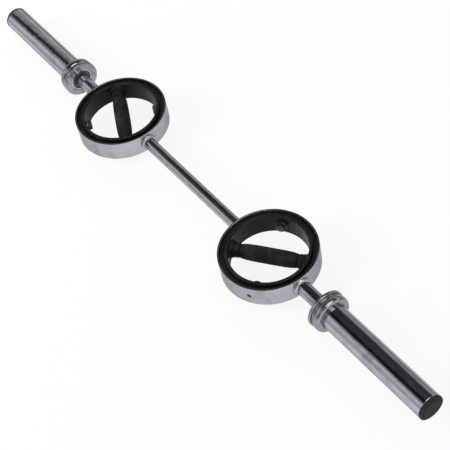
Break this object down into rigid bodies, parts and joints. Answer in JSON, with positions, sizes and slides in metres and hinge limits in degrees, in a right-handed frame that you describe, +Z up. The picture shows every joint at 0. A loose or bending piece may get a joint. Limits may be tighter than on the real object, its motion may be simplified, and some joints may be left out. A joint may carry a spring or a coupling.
{
  "type": "ez bar",
  "caption": "Curl bar for weight plates: a straight chromed bar with turning ring grips set into it and turning sleeves with stop collars at its ends",
  "frame": {"origin": "on the floor under the middle of the bar, at the centre of the box's bottom", "axes": "+X along the bar to its right end, +Z up, the axis that both ring grips turn on; +Y across the bar, away from the lifter's chest side"},
  "size_m": [1.35, 0.187, 0.076],
  "materials": {
    "chrome": "polished chrome plate",
    "weld": "chrome plate over a rippled weld bead",
    "nylon": "black moulded nylon",
    "black_enamel": "black enamel on steel",
    "rubber": "black rubber, fine pebble",
    "black_cap": "black moulded cap with a soft sheen",
    "steel": "bare turned steel",
    "dark_steel": "black oxide on steel",
    "bronze": "oiled sintered bronze"
  },
  "bodies": {
    "bar": {"centre_shaft": "chrome", "left_band": "chrome", "left_guide_race": "nylon", "left_race_screw_1": "dark_steel", "left_race_screw_2": "dark_steel", "left_inner_weld": "weld", "left_outer_weld": "weld", "left_spindle": "chrome", "left_retaining_washer": "steel", "left_end_bolt": "steel", "right_band": "chrome", "right_guide_race": "nylon", "right_race_screw_1": "dark_steel", "right_race_screw_2": "dark_steel", "right_inner_weld": "weld", "right_outer_weld": "weld", "right_spindle": "chrome", "right_retaining_washer": "steel", "right_end_bolt": "steel"},
    "left_grip_unit": {"left_hoop": "black_enamel", "left_handle_core": "steel", "left_grip": "rubber", "left_front_cup": "rubber", "left_back_cup": "rubber", "left_guide_bolt_1": "dark_steel", "left_guide_bolt_2": "dark_steel", "left_guide_washer_1": "steel", "left_guide_washer_2": "steel"},
    "right_grip_unit": {"right_hoop": "black_enamel", "right_handle_core": "steel", "right_grip": "rubber", "right_front_cup": "rubber", "right_back_cup": "rubber", "right_guide_bolt_1": "dark_steel", "right_guide_bolt_2": "dark_steel", "right_guide_washer_1": "steel", "right_guide_washer_2": "steel"},
    "left_sleeve_unit": {"left_sleeve_tube": "chrome", "left_stop_collar": "chrome", "left_end_cap": "black_cap", "left_dust_seal": "steel", "left_inner_bushing": "bronze", "left_outer_bushing": "bronze"},
    "right_sleeve_unit": {"right_sleeve_tube": "chrome", "right_stop_collar": "chrome", "right_end_cap": "black_cap", "right_dust_seal": "steel", "right_inner_bushing": "bronze", "right_outer_bushing": "bronze"}
  },
  "joints": [
    {"name": "left_grip_spin", "type": "hinge", "parent": "bar", "child": "left_grip_unit", "pos_m": [-0.244, 0, 0.038], "axis": [0, 0, 1], "continuous": true},
    {"name": "left_sleeve_spin", "type": "hinge", "parent": "bar", "child": "left_sleeve_unit", "pos_m": [-0.5, 0, 0.038], "axis": [-1, 0, 0], "continuous": true},
    {"name": "right_grip_spin", "type": "hinge", "parent": "bar", "child": "right_grip_unit", "pos_m": [0.244, 0, 0.038], "axis": [0, 0, 1], "continuous": true},
    {"name": "right_sleeve_spin", "type": "hinge", "parent": "bar", "child": "right_sleeve_unit", "pos_m": [0.5, 0, 0.038], "axis": [1, 0, 0], "continuous": true}
  ]
}
